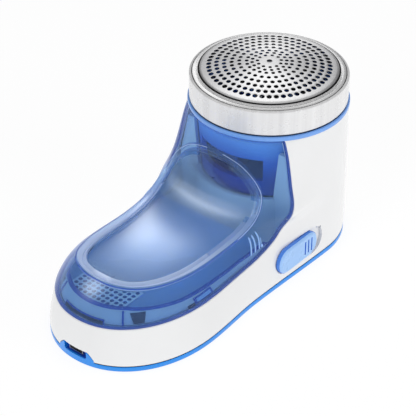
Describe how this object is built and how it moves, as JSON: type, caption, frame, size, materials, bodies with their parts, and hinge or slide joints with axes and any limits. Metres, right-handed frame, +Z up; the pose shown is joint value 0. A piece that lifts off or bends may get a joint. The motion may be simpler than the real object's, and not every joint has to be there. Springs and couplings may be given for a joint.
{
  "type": "fabric shaver",
  "caption": "Rechargeable hand-held fabric shaver: upright round cutting head on a shoe-shaped body with a pull-off translucent lint bin and side slide switch.",
  "frame": {"origin": "on the flat resting face, directly below the axis of the round cutting head", "axes": "+Z up out of the cutting head, +Y from toe to heel so the toe points along -Y, +X towards the slide switch"},
  "size_m": [0.0664, 0.149, 0.0777],
  "materials": {
    "casing_white": "glossy",
    "plate_blue": "satin",
    "frame_white": "satin",
    "bin_clear_blue": "frosted",
    "bin_floor_blue": "satin",
    "filter_blue": "satin",
    "catch_dark": "satin",
    "trim_blue": "glossy",
    "foil_steel": "satin",
    "rim_steel": "polished",
    "guard_pearl": "pearl",
    "blade_steel": "ground",
    "carrier_grey": "matte",
    "spring_steel": "drawn",
    "coupling_ivory": "matte",
    "shaft_steel": "ground",
    "fan_blue": "satin",
    "felt_grey": "felt",
    "can_zinc": "plated",
    "magnet_dark": "sintered",
    "armature_copper": "lacquered",
    "commutator_copper": "turned",
    "brush_carbon": "matte",
    "cap_black": "matte",
    "terminal_brass": "plated",
    "bush_bronze": "sintered",
    "screw_steel": "plated",
    "screw_zinc": "plated",
    "cell_green": "sleeve",
    "tab_nickel": "plated",
    "board_green": "solder mask",
    "chip_black": "matte",
    "screw_small": "plated",
    "port_steel": "stamped",
    "port_black": "matte",
    "board_green_b": "solder mask",
    "switch_can": "plated",
    "switch_black": "matte",
    "knob_light_blue": "satin",
    "lens_clear": "clear",
    "led_red": "clear",
    "lead_red": "satin",
    "lead_black": "satin"
  },
  "bodies": {
    "housing": {"main_housing": "casing_white", "base_plate": "plate_blue", "inner_frame": "frame_white", "head_base": "trim_blue", "shaft_seal": "felt_grey", "motor_can": "can_zinc", "motor_magnets": "magnet_dark", "motor_brushes": "brush_carbon", "motor_end_cap": "cap_black", "motor_terminals": "terminal_brass", "motor_bushes": "bush_bronze", "motor_screws": "screw_steel", "base_screws": "screw_zinc", "battery_cell": "cell_green", "battery_tabs": "tab_nickel", "control_board": "board_green", "board_chips": "chip_black", "board_screws": "screw_small", "usb_shell": "port_steel", "usb_tongue": "port_black", "switch_board": "board_green_b", "slide_switch_body": "switch_can", "indicator_lens": "lens_clear", "indicator_led": "led_red", "motor_leads": "lead_red", "battery_leads": "lead_black"},
    "rotor": {"motor_shaft": "shaft_steel", "motor_armature": "armature_copper", "motor_commutator": "commutator_copper", "impeller": "fan_blue", "drive_coupling": "coupling_ivory", "blade_spring": "spring_steel"},
    "cutter": {"blade_carrier": "carrier_grey", "cutter_blades": "blade_steel"},
    "foil_unit": {"foil": "foil_steel", "foil_rim": "rim_steel"},
    "guard": {"guard_ring": "guard_pearl"},
    "knob": {"switch_knob": "knob_light_blue", "slide_switch_tab": "switch_black"},
    "bin": {"lint_bin": "bin_clear_blue", "bin_floor": "bin_floor_blue", "lint_filter": "filter_blue", "bin_catches": "catch_dark"}
  },
  "joints": [
    {"name": "rotor_spin", "type": "hinge", "parent": "housing", "child": "rotor", "pos_m": [0, 0, 0.03], "axis": [0, 0, 1], "continuous": true},
    {"name": "blade_float", "type": "slide", "parent": "rotor", "child": "cutter", "axis": [0, 0, 1], "range_m": [-0.0008, 0], "stiffness_N_per_m": 600, "springref_m": 0.001, "deforming": ["blade_spring"]},
    {"name": "foil_lift", "type": "slide", "parent": "housing", "child": "foil_unit", "axis": [0, 0, 1], "range_m": [0, 0.035]},
    {"name": "guard_twist", "type": "hinge", "parent": "foil_unit", "child": "guard", "pos_m": [0, 0, 0.068], "axis": [0, 0, 1], "range_deg": [0, 30]},
    {"name": "switch_slide", "type": "slide", "parent": "housing", "child": "knob", "axis": [0, 1, 0], "range_m": [0, 0.0036]},
    {"name": "bin_pull", "type": "slide", "parent": "housing", "child": "bin", "axis": [0, -1, 0], "range_m": [0, 0.11]}
  ]
}
